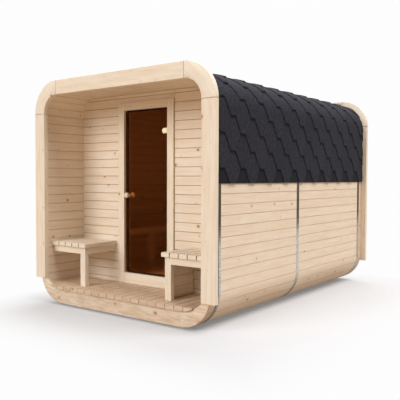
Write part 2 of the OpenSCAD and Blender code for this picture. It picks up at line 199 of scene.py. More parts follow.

# %% [markdown]
# Wall boards are planed, trims and benches also sanded, and the sill is left as it was sawn. The porch
# floor is drawn darker and warmer than the sill. Sawn ends show rings, not streaks, and drink in more
# dirt. So a piece of wood has two finishes: its sides, and its sawn ends. The record's slots name the
# woods.

# %% The woods
COARSE, SAWN_ACROSS = {"ring_share": 0.8, "stretch": 0.2}, {"stretch": 1.0, "knotty": False}
planed, sanded, rough_sawn, end_grain, darker_floor_wood = (
    finish(name, spruce, *tones, **settings) for name, tones, settings in (
        ("planed_spruce", ("#F5EAD9", "#F1DEC8", "#DDC3A3", "#8F6440"), {"ring_share": 0.5}),
        ("sanded_spruce", ("#F7EFE1", "#F2E1CB", "#DEC6A5", "#A87C52"), {}),
        ("rough_sawn_spruce", ("#F5EADA", "#EDD7BD", "#CBA57C", "#8F6440"), COARSE),
        ("spruce_end_grain", ("#E6D0B0", "#DFC5A2", "#C6A57C", "#9C7048"), SAWN_ACROSS),
        # The porch floor: a darker, warmer copy of the rough-sawn wood.
        ("darker_floor_spruce", ("#E4D2BC", "#DDC1A3", "#BD936B", "#8F6440"), COARSE)))
ROUGH_SAWN, DARKER_FLOOR_WOODS = [rough_sawn, end_grain], [darker_floor_wood, end_grain]
WOODS = {"spruce": [planed, end_grain], "interior_wood": [planed, end_grain],
         "spruce_trim": [sanded, end_grain]}
print("wood:", [wood.name for wood in (planed, sanded, rough_sawn, end_grain, darker_floor_wood)])

# %% [markdown]
# ## Boards
# A board is a long bar with eased edges. A cube with a bevel would do for a straight one, but not for a
# curved trim piece or for a wall board with a shaped end. So each board is lofted through rings of
# points, which is one recipe for all of them. While it is made it also gets its grain map, its number,
# and a crease value: how much painted shade a corner gets, deep in a groove or a gap between boards.

# %% A stock of boards
chance = random.Random(11)


class Stock:
    """The boards of one piece while it is being made."""

    def __init__(self):
        self.corners, self.faces = [], []
        self.grain, self.creases, self.numbers, self.sawn = [], [], [], []

    def face(self, corners, grain, creases, number, sawn=0):
        """One face with its grain place and crease at each corner. sawn is 1 for a sawn end."""
        self.faces.append(corners)
        self.grain.extend(grain)
        self.creases.extend(creases)
        self.numbers.append(number)
        self.sawn.append(sawn)

    def loft(self, rings, grain, ends, creases=None, number=None):
        """One closed board through rings of points. grain has one more place a ring, for the seam."""
        number = chance.random() if number is None else number
        first, count = len(self.corners), len(rings[0])
        creases = creases or [[0.0] * count] * len(rings)
        for ring in rings:
            self.corners.extend(ring)
        for r in range(len(rings) - 1):
            for i in range(count):
                j = (i + 1) % count
                spots = [(r, i), (r, j), (r + 1, j), (r + 1, i)]
                self.face([first + a * count + b for a, b in spots],
                          [grain[r][i], grain[r][i + 1], grain[r + 1][i + 1], grain[r + 1][i]],
                          [creases[a][b] for a, b in spots], number)
        for ring in (0, len(rings) - 1):
            places = [first + ring * count + i for i in range(count)]
            flat = list(ends)
            if ring == 0:
                places.reverse()
                flat.reverse()
            self.face(places, flat, [0.0] * count, number, sawn=1)

    def mesh(self, name):
        """The boards as one mesh with their maps."""
        made = bpy.data.meshes.new(name)
        made.from_pydata(self.corners, [], self.faces)
        made.uv_layers.new(name="grain").data.foreach_set("uv", [v for pair in self.grain for v in pair])
        made.attributes.new("board", "FLOAT", "FACE").data.foreach_set("value", self.numbers)
        made.attributes.new("crease", "FLOAT", "CORNER").data.foreach_set("value", self.creases)
        made.polygons.foreach_set("material_index", self.sawn)
        return made


# %% [markdown]
# A straight board's long edges are eased, which means rounded by a few millimetres, as a planer leaves
# them. Its end edges are worked back too, with one more ring close to each end, so that light catches
# them. A board fills a box that the CAD gives.

# %% Straight boards
AXES = {"x": Vector((1, 0, 0)), "y": Vector((0, 1, 0)), "z": Vector((0, 0, 1))}


def eased_section(width, depth, ease):
    """Points round a board's cross-section, with its four long edges rounded."""
    points = []
    for side, up, turn in ((1, 1, 0), (-1, 1, 90), (-1, -1, 180), (1, -1, 270)):
        for step in (0, 45, 90):
            angle = math.radians(turn + step)
            points.append((side * (width / 2 - ease) + ease * math.cos(angle),
                           up * (depth / 2 - ease) + ease * math.sin(angle)))
    return points


def distance_round(points):
    """How far each point lies along the outline, and at last the whole way round."""
    places = [0.0]
    for i, point in enumerate(points):
        places.append(places[-1] + math.dist(point, points[(i + 1) % len(points)]))
    return places


def add_bar(stock, low, high, along, ease=0.003, gaps=(0.0, 0.0), joints=0.0, stacked=False):
    """A straight board that fills a box, its grain along one axis. gaps and joints say how dark
    its two long sides are, low side first, and the eased edges of its two ends. The long sides of a
    stacked board are its top and bottom."""
    low, high = Vector(low), Vector(high)
    middle, size = (low + high) / 2, high - low
    across, through = [a for a in ("zyx" if stacked else "xyz") if a != along]
    length, width, depth = (size["xyz".index(a)] for a in (along, across, through))
    ease = min(ease, 0.4 * width, 0.4 * depth)
    full = eased_section(width, depth, ease)
    sides = [gaps[a > 0] * math.sqrt(max(0.0, 1 - (width / 2 - abs(a)) / ease)) for a, b in full]
    ends = [max(joints, side) for side in sides]
    way = distance_round(full)
    rings, grain = [], []
    for station, inset in (
            (0.0, ease / 2), (ease / 2, 0.0), (length - ease / 2, 0.0), (length, ease / 2)):
        start = middle + AXES[along] * (station - length / 2)
        section = eased_section(width - 2 * inset, depth - 2 * inset, ease - inset)
        rings.append([start + AXES[across] * a + AXES[through] * b for a, b in section])
        grain.append([(station, v) for v in way])
    stock.loft(rings, grain, full, [ends, sides, sides, ends])


# %% [markdown]
# Every mesh ends the same way. Its faces are turned outwards, it gets its finishes, and it becomes a
# piece that rides on a body and stands for the CAD nodes it replaces. Its slot picks the woods when no
# finishes are given.

# %% Finished pieces


def put(mesh, name, *cad_nodes, finishes=None, body="building", slot="spruce", smooth=None):
    """Makes a finished piece of a mesh. smooth is the angle from which an edge stays sharp."""
    sheet = bmesh.new()
    sheet.from_mesh(mesh)
    bmesh.ops.recalc_face_normals(sheet, faces=sheet.faces)
    sheet.to_mesh(mesh)
    sheet.free()
    mesh.materials.clear()
    for material in finishes or WOODS[slot]:
        mesh.materials.append(material)
    if smooth:
        mesh.polygons.foreach_set("use_smooth", [True] * len(mesh.polygons))
        mesh.set_sharp_from_angle(angle=math.radians(smooth))
    mesh.name = name
    piece = add_object(name, mesh)
    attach(piece, body)
    if cad_nodes:
        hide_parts(*cad_nodes)
    print(f"{name}: {len(mesh.polygons)} faces")


def boards(name, boxes, along, *cad_nodes, slot="spruce_trim", finishes=None, shade=0.0, swell=0.0,
           **bar_settings):
    """A piece of straight boards, one for each (low, high) box. Boards that lie in a row may shade
    the gaps between them, and reach a little into the gaps along the first axis."""
    stock = Stock()
    for place, (low, high) in enumerate(boxes):
        inner = (place > 0, place < len(boxes) - 1)
        low = Vector(low) - swell * inner[0] * AXES["x"]
        high = Vector(high) + swell * inner[1] * AXES["x"]
        add_bar(stock, low, high, along, gaps=[shade * gap for gap in inner], **bar_settings)
    put(stock.mesh(name), name, *cad_nodes, slot=slot, finishes=finishes)


# %% [markdown]
# A CAD node such as a bench seat holds several solids, and each becomes one board. They are found by
# walking along the edges of a merged copy of the node's mesh, from corner to corner.

# %% Solids of a CAD node


def island_boxes(cad_node):
    """The box of each separate solid in a CAD node."""
    sheet = bmesh.new()
    sheet.from_mesh(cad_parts[cad_node].data)
    bmesh.ops.remove_doubles(sheet, verts=sheet.verts, dist=1e-5)
    left = set(sheet.verts)
    found = []
    while left:
        pending, group = [left.pop()], []
        while pending:
            corner = pending.pop()
            group.append(corner.co.copy())
            for edge in corner.link_edges:
                other = edge.other_vert(corner)
                if other in left:
                    left.discard(other)
                    pending.append(other)
        found.append(tuple(Vector(pick(v[i] for v in group) for i in range(3)) for pick in (min, max)))
    sheet.free()
    return sorted(found, key=lambda pair: tuple(pair[0]))


print("slats of the left bench:", len(island_boxes("left_bench_seat")))

# %% [markdown]
# ## Rows and wraps
# Staves and shingles repeat at an even step and follow the rounded outline of the barrel. Array and
# Curve modifiers could do that, but they give every copy the same board number. So two Geometry Nodes
# trees do the two jobs. Both end by making copies real and by setting the finish of every face and
# then that of the sawn ends.

# %% Inputs and end of a tree


def new_tree(name, sockets):
    """A geometry tree with the named inputs, and the outputs of its input node."""
    tree = bpy.data.node_groups.new(name, "GeometryNodeTree")
    tree.interface.new_socket("Geometry", in_out="INPUT", socket_type="NodeSocketGeometry")
    tree.interface.new_socket("Geometry", in_out="OUTPUT", socket_type="NodeSocketGeometry")
    for label, kind in sockets + [("Face", "NodeSocketMaterial"), ("End", "NodeSocketMaterial")]:
        tree.interface.new_socket(label, in_out="INPUT", socket_type=kind)
    return tree, node(tree, "NodeGroupInput").outputs


def end_tree(tree, geometry, source):
    """Sets the two finishes of realized geometry: every face first, then the sawn ends."""
    face = node(tree, "GeometryNodeSetMaterial", {0: geometry, "Material": source["Face"]})
    sawn = node(tree, "GeometryNodeInputNamedAttribute", {"Name": "sawn_end"}, data_type="BOOLEAN")
    end = node(tree, "GeometryNodeSetMaterial", {0: face, "Selection": sawn, "Material": source["End"]})
    node(tree, "NodeGroupOutput", {0: end})
    return tree


# %% [markdown]
# The first tree sets copies of a piece in a row. Every second copy can be staggered, and each gets its
# own board number from a fixed seed.

# %% Row tree


def row_tree():
    """The tree that sets numbered copies in a row."""
    tree, source = new_tree("row_of_pieces", [
        ("Count", "NodeSocketInt"), ("Step", "NodeSocketVector"), ("Stagger", "NodeSocketVector"),
        ("Seed", "NodeSocketInt")])
    line = node(tree, "GeometryNodeMeshLine", {"Count": source["Count"], "Offset": source["Step"]})
    index = node(tree, "GeometryNodeInputIndex")
    odd = node(tree, "Math", {0: index, 1: 2.0}, operation="MODULO")
    shift = node(tree, "VectorMath", {0: source["Stagger"], "Scale": odd}, operation="SCALE")
    points = node(tree, "GeometryNodeSetPosition", {0: line, "Offset": shift})
    copies = node(tree, "GeometryNodeInstanceOnPoints", {
        "Points": points, "Instance": source["Geometry"]})
    luck = node(tree, "FunctionNodeRandomValue", {"Seed": source["Seed"]}, data_type="FLOAT")
    marked = node(tree, "GeometryNodeStoreNamedAttribute", {
        0: copies, "Name": "copy", "Value": luck}, data_type="FLOAT", domain="INSTANCE")
    real = node(tree, "GeometryNodeRealizeInstances", {0: marked})
    # The piece's own number and the copy's make a new one.
    own = node(tree, "GeometryNodeInputNamedAttribute", {"Name": "board"}, data_type="FLOAT")
    copy = node(tree, "GeometryNodeInputNamedAttribute", {"Name": "copy"}, data_type="FLOAT")
    total = node(tree, "Math", {0: own, 1: copy})
    number = node(tree, "Math", {0: total}, operation="FRACT")
    numbered = node(tree, "GeometryNodeStoreNamedAttribute", {
        0: real, "Name": "board", "Value": number}, data_type="FLOAT", domain="FACE")
    clean = node(tree, "GeometryNodeRemoveAttribute", {0: numbered, "Name": "copy"})
    return end_tree(tree, clean, source)


ROW = row_tree()
print("row tree:", len(ROW.nodes), "nodes")

# %% [markdown]
# The second tree takes a flat field of pieces and lays it round a profile curve: the first axis becomes
# the way along the curve and the third its height. The radius of the curve's points says how much of
# the height is left below the curve, because the corner staves are hollowed inside.

# %% Wrap tree


def wrap_tree():
    """The tree that lays a flat field round a profile."""
    tree, source = new_tree("wrap_round_profile", [("Profile", "NodeSocketObject")])
    profile = node(tree, "GeometryNodeObjectInfo", {"Object": source["Profile"]})
    place = node(tree, "SeparateXYZ", {0: node(tree, "GeometryNodeInputPosition")})
    on_curve = node(tree, "GeometryNodeSampleCurve", {
        "Curves": profile.outputs["Geometry"], "Value": node(tree, "GeometryNodeInputRadius"),
        "Length": place.outputs[0]}, mode="LENGTH", use_all_curves=True)
    outward = node(tree, "VectorMath", {
        0: on_curve.outputs["Tangent"], 1: (0.0, 1.0, 0.0)}, operation="CROSS_PRODUCT")
    below = node(tree, "Math", {0: place.outputs[2], 1: 0.0}, operation="MINIMUM")
    above = node(tree, "Math", {0: place.outputs[2], 1: 0.0}, operation="MAXIMUM")
    height = node(tree, "Math", {
        0: below, 1: on_curve.outputs["Value"], 2: above}, operation="MULTIPLY_ADD")
    raised = node(tree, "VectorMath", {0: outward, "Scale": height}, operation="SCALE")
    lifted = node(tree, "VectorMath", {0: on_curve.outputs["Position"], 1: raised})
    back = node(tree, "CombineXYZ", {1: place.outputs[1]})
    moved = node(tree, "VectorMath", {0: lifted, 1: back})
    bent = node(tree, "GeometryNodeSetPosition", {0: source["Geometry"], "Position": moved})
    return end_tree(tree, node(tree, "GeometryNodeRealizeInstances", {0: bent}), source)


WRAP = wrap_tree()
print("wrap tree:", len(WRAP.nodes), "nodes")

# %% [markdown]
# A tree runs as a modifier on a carrier object. Its inputs are set by their identifiers, and the
# evaluated result is copied to a plain mesh, so nothing live is left on the finished piece.

# %% Running the trees


def apply_trees(mesh, finishes, steps):
    """The mesh after each (tree, values) step, as a plain mesh with no modifier left."""
    flags = [p.material_index == 1 for p in mesh.polygons]
    mesh.attributes.new("sawn_end", "BOOLEAN", "FACE").data.foreach_set("value", flags)
    carrier = add_object("carrier", mesh)
    for tree, values in steps:
        values = {**values, "Face": finishes[0], "End": finishes[1]}
        modifier = carrier.modifiers.new(tree.name, "NODES")
        modifier.node_group = tree
        for item in tree.interface.items_tree:
            if item.in_out == "INPUT" and item.name in values:
                modifier[item.identifier] = values[item.name]
    bpy.context.view_layer.update()
    result = bpy.data.meshes.new_from_object(
        carrier.evaluated_get(bpy.context.evaluated_depsgraph_get()))
    carrier.modifiers.clear()
    bpy.data.objects.remove(carrier)
    return result


# %% [markdown]
# ## The shell
# Eighty-nine staves make the barrel. On the real one each is milled with a tongue and a groove and a
# small bevel, so that a thin V shows between two staves inside and out. The corner staves are hollowed
# to a tighter curve inside. One flat stave is made, set in a row, and wrapped round the outline, with
# the staves' thickness along it carried by the curve.

# %% Outline of the barrel
wall_low, wall_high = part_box("right_wall_staves")
floor_high, roof_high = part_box("floor_staves")[1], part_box("roof_staves")[1]
stave = wall_high.x - wall_low.x
shell_x, flat_x = wall_high.x, floor_high.x
corner_r = shell_x - flat_x
low_z, high_z = wall_low.z, wall_high.z
front_y, back_y = wall_low.y, wall_high.y
HOLLOW = 0.06
inner_r = corner_r - stave - HOLLOW
# The four long corners, clockwise from the upper left, each as its side, up or down, and first angle.
CORNERS = [(-1, 1, 180), (1, 1, 90), (1, -1, 0), (-1, -1, -90)]


def share_left(angle):
    """The share of a stave's thickness that is left at an angle round a corner."""
    across, up = abs(math.cos(angle)), abs(math.sin(angle))
    clear = (corner_r - stave) / max(across, up)
    if min(across, up) * clear > HOLLOW:
        middle = HOLLOW * (across + up)
        clear = middle + math.sqrt(middle**2 - 2 * HOLLOW**2 + inner_r**2)
    return (corner_r - clear) / stave


def outline(start, corners, lift=0.0, steps=24):
    """Points (x, z, share left) from a height on the left wall round some of the corners."""
    points = [(-shell_x - lift, start, 1.0)]
    for side, up, first in corners:
        for k in range(steps + 1):
            angle = math.radians(first - 90 * k / steps)
            points.append((side * flat_x + (corner_r + lift) * math.cos(angle),
                           (high_z if up > 0 else low_z) + (corner_r + lift) * math.sin(angle),
                           share_left(angle)))
    return points


def profile_curve(points):
    """A curve object for the wrap tree, which stays out of the finished scene, and its length."""
    curve = bpy.data.curves.new("profile", "CURVE")
    curve.dimensions = "3D"
    line = curve.splines.new("POLY")
    line.points.add(len(points) - 1)
    for spot, (x, z, share) in zip(line.points, points):
        spot.co = (x, 0.0, z, 1.0)
        spot.radius = share
    made = add_object("profile", curve)
    bpy.context.view_layer.update()
    return made, sum(math.dist(a[:2], b[:2]) for a, b in zip(points, points[1:]))


print("corner radius:", round(corner_r, 3), "outside,", round(inner_r, 3), "inside")

# %% Staves
STAVES = 89
GROOVE_WIDTH = 0.004
GROOVE_DEPTH = 0.0045
GROOVE_SHADE, LIP_SHADE = 0.48, 0.07
FRONT_SHADE, REAR_SHADE = 0.35, 0.25
SHADE_EDGE = 0.001
SEAM_HEIGHT = 1.195
band_low, band_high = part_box("steel_bands")


def stave_mesh(width):
    """One flat stave: the first axis across it, the second along it, the third through it. Outside,
    shade gathers on its ends, in the narrow strips between the posts and the outer bands."""
    spans = [0.0, GROOVE_WIDTH] + [width * k / 5 for k in range(1, 5)] + [width - GROOVE_WIDTH, width]
    outer = [(x, -GROOVE_DEPTH if k in (0, len(spans) - 1) else 0.0) for k, x in enumerate(spans)]
    section = outer + [(x, -stave - z) for x, z in reversed(outer)]
    shades = {0.0: GROOVE_SHADE, GROOVE_WIDTH: LIP_SHADE,
              width - GROOVE_WIDTH: LIP_SHADE, width: GROOVE_SHADE}
    way = distance_round(section)
    rings, grain, creases = [], [], []
    for y, end_shade in (
            (front_y, FRONT_SHADE), (band_low.y, FRONT_SHADE), (band_low.y + SHADE_EDGE, 0.0),
            (band_high.y - SHADE_EDGE, 0.0), (band_high.y, REAR_SHADE), (back_y, REAR_SHADE)):
        rings.append([Vector((x, y, z)) for x, z in section])
        grain.append([(y - front_y, v) for v in way])
        creases.append([
            max(shades.get(x, 0.0), end_shade if z > -stave / 2 else 0.0) for x, z in section])
    stock = Stock()
    stock.loft(rings, grain, section, creases)
    return stock.mesh("stave")


round_line, round_length = profile_curve(outline(SEAM_HEIGHT, CORNERS) + [(-shell_x, SEAM_HEIGHT, 1.0)])
stave_width = round_length / STAVES
shell_mesh = apply_trees(stave_mesh(stave_width), WOODS["spruce"], [
    (ROW, {"Count": STAVES, "Step": (stave_width, 0.0, 0.0), "Seed": 5}),
    (WRAP, {"Profile": round_line})])
put(shell_mesh, "shell_staves", "floor_staves", "left_wall_staves", "right_wall_staves", "roof_staves",
    "lower_left_corner", "lower_right_corner", "upper_left_corner", "upper_right_corner", smooth=25)
bpy.data.objects.remove(round_line)
print("stave width:", round(1000 * stave_width, 1), "mm")

# %% [markdown]
# ## Walls of boards
# The front and rear walls are stacked boards with the same bevels. Their ends follow the inside of
# the barrel, so a board's length depends on its height. Boards cut off by a Boolean would give ragged
# faces there. Instead each board is a loft whose two end rings take their places from the outline, and
# run a little way into the staves to close the joint.

# %% Front and rear walls
BOARD_STEP, BOARD_SEAM = 0.0883, 1.474
WALL_SHADE = 0.75
HIDDEN_END = 0.012
room_x = shell_x - stave
room_low, room_high = floor_high.z, roof_high.z - stave


def reach(z):
    """Half the clear width inside the barrel at a height, and a little more, hidden in the staves."""
    off = max(z - (room_high - inner_r), room_low + inner_r - z, 0.0)
    return room_x - inner_r + math.sqrt(max((inner_r + HIDDEN_END) ** 2 - off**2, 0.0))


def board_wall(name, cad_node, left=None, right=None):
    """Stacked wall boards in a CAD node's place; an end with no side given follows the barrel."""
    low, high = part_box(cad_node)
    stock = Stock()
    seam = BOARD_SEAM - BOARD_STEP * math.ceil((BOARD_SEAM - low.z) / BOARD_STEP)
    while seam < high.z - GROOVE_WIDTH:
        z0, z1 = max(seam, low.z), min(seam + BOARD_STEP, high.z)
        seam += BOARD_STEP
        if z1 - z0 < 4 * GROOVE_WIDTH:
            continue
        between = [z0 + (z1 - z0) * k / 7 for k in range(1, 7)]
        heights = [z0, z0 + GROOVE_WIDTH] + between + [z1 - GROOVE_WIDTH, z1]
        front = [(low.y + (GROOVE_DEPTH if z in (z0, z1) else 0.0), z) for z in heights]
        section = front + [(low.y + high.y - y, z) for y, z in reversed(front)]
        dark = [WALL_SHADE if z in (z0, z1) else 0.0 for y, z in section]
        rings, grain = [], []
        for side, fixed in ((-1, left), (1, right)):
            ends = [side * reach(z) if fixed is None else fixed for y, z in section]
            rings.append([Vector((x, y, z)) for x, (y, z) in zip(ends, section)])
            grain.append(list(zip(ends + ends[:1], distance_round(section))))
        stock.loft(rings, grain, section, [dark, dark])
    put(stock.mesh(name), name, cad_node)


JAMB_GAP = 0.006
jamb_left, jamb_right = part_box("door_jamb_left"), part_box("door_jamb_right")
doorway = jamb_left[0].x, jamb_right[1].x
board_wall("front_wall_boards_left", "front_wall_left", right=doorway[0])
board_wall("front_wall_boards_right", "front_wall_right", left=doorway[1] + JAMB_GAP)
board_wall("front_wall_boards_over_door", "front_wall_over_door", *doorway)
board_wall("front_wall_boards_under_door", "front_wall_under_door", *doorway)
board_wall("rear_wall_boards", "rear_wall")

# %% [markdown]
# ## End trims
# Each end of the barrel is covered by a trim of two posts, two quarter-round pieces sawn from wide
# boards, and a board across the top. A curve with a bevel could make the quarter rounds, but its grain
# would bend with it. The straight grain of a sawn curve runs off at its edges, so these are lofts
# whose grain map stays flat and slanting.

# %% Curved boards
TRIM_EASE, JOINT_GAP, JOINT_SHADE = 0.004, 0.0015, 0.7
TURN_SHARES = [0.0, 0.008] + [k / 20 for k in range(1, 20)] + [0.992, 1.0]


def add_curved_board(stock, side, inner, outer, y0, y1, ease=TRIM_EASE, joints=JOINT_SHADE, slant=45.0):
    """A board between two arcs. An arc is its centre (x, z), radius, and first and last angle."""
    depth, tilt = y1 - y0, math.radians(slant)
    along, across = Vector((math.cos(tilt), -math.sin(tilt))), Vector((math.sin(tilt), math.cos(tilt)))
    rings, grain, creases = [], [], []
    for share in TURN_SHARES:
        near, far = (Vector(centre) + Vector((math.cos(turn), math.sin(turn))) * radius
                     for centre, radius, first, last in (inner, outer)
                     for turn in [math.radians(first + (last - first) * share)])
        inset = ease / 2 if share in (0.0, 1.0) else 0.0
        section = eased_section((far - near).length - 2 * inset, depth - 2 * inset, ease - inset)
        flat = [(near + far) / 2 + (far - near).normalized() * a for a, b in section]
        rings.append([Vector((side * p.x, (y0 + y1) / 2 + b, p.y)) for p, (a, b) in zip(flat, section)])
        places = [(p.dot(along), p.dot(across) + b) for p, (a, b) in zip(flat, section)]
        grain.append(places + places[:1])
        creases.append([joints if inset else 0.0] * len(section))
    stock.loft(rings, grain, section, creases)


# %% Posts, arches and top boards


def trim(end):
    """The trim of the front or rear end. Returns the height of its posts' feet and their inner side."""
    low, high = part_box(f"{end}_posts")
    arch_low, arch_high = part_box(f"{end}_arches")
    board_low, board_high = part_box(f"{end}_top_board")
    width = board_high.z - board_low.z
    look = {"ease": TRIM_EASE, "joints": JOINT_SHADE}
    boards(f"{end}_trim_posts", [
        ((low.x, low.y, low.z), (low.x + width, high.y, high.z - JOINT_GAP)),
        ((high.x - width, low.y, low.z), (high.x, high.y, high.z - JOINT_GAP))],
        "z", f"{end}_posts", **look)
    boards(f"{end}_trim_top_board", [
        ((board_low.x + JOINT_GAP, low.y, board_low.z),
         (board_high.x - JOINT_GAP, high.y, board_high.z))],
        "x", f"{end}_top_board", **look)
    stock = Stock()
    centre, radius = (board_high.x, arch_low.z), arch_high.x - board_high.x
    inner, outer = (centre, radius - width, 0, 90), (centre, radius, 0, 90)
    for side in (-1, 1):
        add_curved_board(stock, side, inner, outer, low.y, high.y)
    put(stock.mesh("arches"), f"{end}_trim_arches", f"{end}_arches", slot="spruce_trim", smooth=30)
    return low.z, high.x - width


post_foot, post_inner = trim("front")
trim("rear")

# %% [markdown]
# Under the porch floor lies a rough-sawn sill. At both ends a curved piece carries it up to the foot of
# the post: its lower arc is the barrel's, and its upper arc is as wide as it takes to get there.

# %% Sill under the porch boards
SILL_EASE, SILL_JOINTS = 0.002, 0.2
sill_low, sill_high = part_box("front_sill")
boards("front_sill_board", [(sill_low, sill_high)], "x", "front_sill", finishes=ROUGH_SAWN,
       ease=SILL_EASE)
sill_run, sill_rise = post_inner - flat_x, post_foot - sill_high.z
sill_arc_r = (sill_run**2 + sill_rise**2) / (2 * sill_rise)
sill_arc_z = sill_high.z + sill_arc_r
upper_arc, lower_arc = (
    ((flat_x, z), radius, -90, -math.degrees(math.asin((z - post_foot) / radius)))
    for z, radius in ((sill_arc_z, sill_arc_r), (low_z, corner_r)))
sill = Stock()
for side in (-1, 1):
    add_curved_board(sill, side, upper_arc, lower_arc, sill_low.y, sill_high.y,
                     ease=SILL_EASE, joints=SILL_JOINTS, slant=0.0)
put(sill.mesh("sill_corners"), "sill_corner_boards", "sill_corners", finishes=ROUGH_SAWN, smooth=30)
print("radius of the sill's upper arc:", round(sill_arc_r, 3))

# %% [markdown]
# ## Porch floor
# The floor boards run from the front wall to the front edge, where their sawn ends show in a row above
# the sill. The outermost boards are cut to the curve of the barrel. A row of plain bars would stick out
# of it there, so each board's underside takes its heights from the arc that it lies on.

# %% Porch floor
FLOOR_STEP, FLOOR_GAP, HIDDEN_EDGE = 0.1011, 0.004, 0.008
deck_low, deck_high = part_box("porch_floor")


def add_floor_board(stock, x0, x1, y0, y1, arc, number, ease=0.0035):
    """A floor board whose underside follows an arc (x, z, radius) where the barrel curves up."""
    top, bottom = deck_high.z, deck_low.z
    arc_x, arc_z, radius = arc
    limit = arc_x + math.sqrt(radius**2 - (arc_z - top + 2 * ease) ** 2)
    x0, x1 = max(x0, -limit), min(x1, limit)
    if x1 - x0 < 4 * ease:
        return
    section = []
    for k in range(9):
        x = x0 + (x1 - x0) * k / 8
        off = max(abs(x) - arc_x, 0.0)
        section.append((x, max(bottom, arc_z - math.sqrt(radius**2 - off**2))))
    section += [(x1, top - ease), (x1 - ease, top), (x0 + ease, top), (x0, top - ease)]
    dark = [0.0 if z == top else 1.0 for x, z in section]
    rings = [[Vector((x, y, z)) for x, z in section] for y in (y0, y1)]
    grain = [[(y - y0, v) for v in distance_round(section)] for y in (y0, y1)]
    stock.loft(rings, grain, section, [dark, dark], number)


deck = Stock()
under_walls = (room_x - inner_r, room_low + inner_r, inner_r + HIDDEN_EDGE)
over_sill = (flat_x, sill_arc_z, sill_arc_r)
half_count = math.ceil(deck_high.x / FLOOR_STEP)
for k in range(-half_count, half_count):
    x0, x1 = k * FLOOR_STEP + FLOOR_GAP / 2, (k + 1) * FLOOR_STEP - FLOOR_GAP / 2
    number = chance.random()
    if max(abs(x0), abs(x1)) <= flat_x:
        add_floor_board(deck, x0, x1, deck_low.y, deck_high.y, under_walls, number)
    else:
        add_floor_board(deck, x0, x1, deck_low.y, front_y, over_sill, number)
        add_floor_board(deck, x0, x1, front_y, deck_high.y, under_walls, number)
put(deck.mesh("porch_floor_boards"), "porch_floor_boards", "porch_floor", finishes=DARKER_FLOOR_WOODS)

# %% [markdown]
# ## Porch benches
# Two small benches stand beside the door, each a seat of slats with eased edges and dark gaps, on rails
# and a leg. The CAD has every bar of them as a solid, so each becomes a board in its place.

# %% Porch benches
SLAT_LOOK = {"shade": 1.0, "swell": 0.0012, "ease": 0.004, "joints": 0.15}
for side in ("left", "right"):
    seat = f"{side}_bench_seat"
    boards(f"{side}_bench_slats", island_boxes(seat), "y", seat, **SLAT_LOOK)
for name, part, along in (("bench_cross_rail_boards", "bench_cross_rails", "x"),
                          ("bench_side_rail_boards", "bench_side_rails", "y"),
                          ("bench_leg_posts", "bench_legs", "z")):
    boards(name, island_boxes(part), along, part)

# %% [markdown]
# Thin boards close the side of the right bench beside the door. They are nailed to the leg and to the
# rail, and end under the overhang of the seat.

# %% Boarded side of the right bench
SIDE_BOARD_T, SIDE_BOARDS = 0.012, 4
leg_low, leg_high = island_boxes("bench_legs")[-1]
seat_low, seat_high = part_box("right_bench_seat")
levels = [leg_low.z + (seat_low.z - leg_low.z) * k / SIDE_BOARDS for k in range(SIDE_BOARDS + 1)]
outside, mid_leg = leg_low.x - SIDE_BOARD_T, (leg_low.y + leg_high.y) / 2
side_boards = [((outside, mid_leg, low), (leg_low.x, seat_high.y, high))
               for low, high in zip(levels, levels[1:])]
boards("right_bench_side_boards", side_boards, "y", shade=0.5, stacked=True)

# %% [markdown]
# ## Door frame
# The door is a single sheet of glass in a frame of spruce. The frame's pieces have a rebate that the
# glass shuts against. Cut from one bar, a rebate would need a Boolean, so each frame piece is two bars
# glued side by side: the broad one, and a narrower stop that starts behind the glass.

# %% Door frame
STOP_WIDTH, STOP_PLAY = 0.012, 0.005
FRAME_EASE, FRAME_JOINTS = 0.002, 0.6
stop_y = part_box("door_glass")[1].y + STOP_PLAY


def frame_piece(name, cad_node, along, axis, inward):
    """A frame piece in its two parts: the broad one, and the stop on its inner side."""
    low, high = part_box(cad_node)
    broad_low, broad_high, stop_low, stop_high = low.copy(), high.copy(), low.copy(), high.copy()
    if inward > 0:
        broad_high[axis] = stop_low[axis] = high[axis] - STOP_WIDTH
    else:
        broad_low[axis] = stop_high[axis] = low[axis] + STOP_WIDTH
    stop_low.y = stop_y
    if along == "x":
        stop_low.x, stop_high.x = low.x + STOP_WIDTH, high.x - STOP_WIDTH
    boards(name, [(broad_low, broad_high), (stop_low, stop_high)], along, cad_node,
           ease=FRAME_EASE, joints=FRAME_JOINTS)


for name, cad_node, along, axis, inward in (
        ("door_frame_left", "door_jamb_left", "z", 0, 1),
        ("door_frame_right", "door_jamb_right", "z", 0, -1),
        ("door_frame_head", "door_head", "x", 2, -1),
        ("door_frame_threshold", "door_threshold", "x", 2, 1)):
    frame_piece(name, cad_node, along, axis, inward)

# %% [markdown]
# ## Black strips
# Two black strips belong to the frame. One fills the joint between the frame and the wall boards beside
# the hinges: it is a painted shadow, a dark sheet where that joint lies in shade. An angle strip lines
# the stops all the way round, so that the shut glass rests against its front: it is a rubber seal, and
# its black is also painted shade on the stops behind the glass. Both are matt, never quite black, and
# faintly grainy.

# %% Matt black


def matt_black(tree, shade, roughness, grain_size):
    """Matt black with a fine grain: the black strips by the door, or the cut edge of a bitumen sheet."""
    place = node(tree, "TexCoord").outputs["Object"]
    specks = node(tree, "TexNoise", {"Vector": place, "Scale": 1 / grain_size, "Detail": 2.0})
    relief = node(tree, "Bump", {"Strength": 0.2, "Distance": 0.0005, "Height": specks})
    return node(tree, "BsdfPrincipled", {
        "Base Color": colour(shade), "Roughness": roughness, "Normal": relief})


BLACK_SEAL_AND_SHADE = [finish("black_seal_and_shade", matt_black, "#1B1612", 0.8, 0.002)] * 2
print("seals:", BLACK_SEAL_AND_SHADE[0].name)

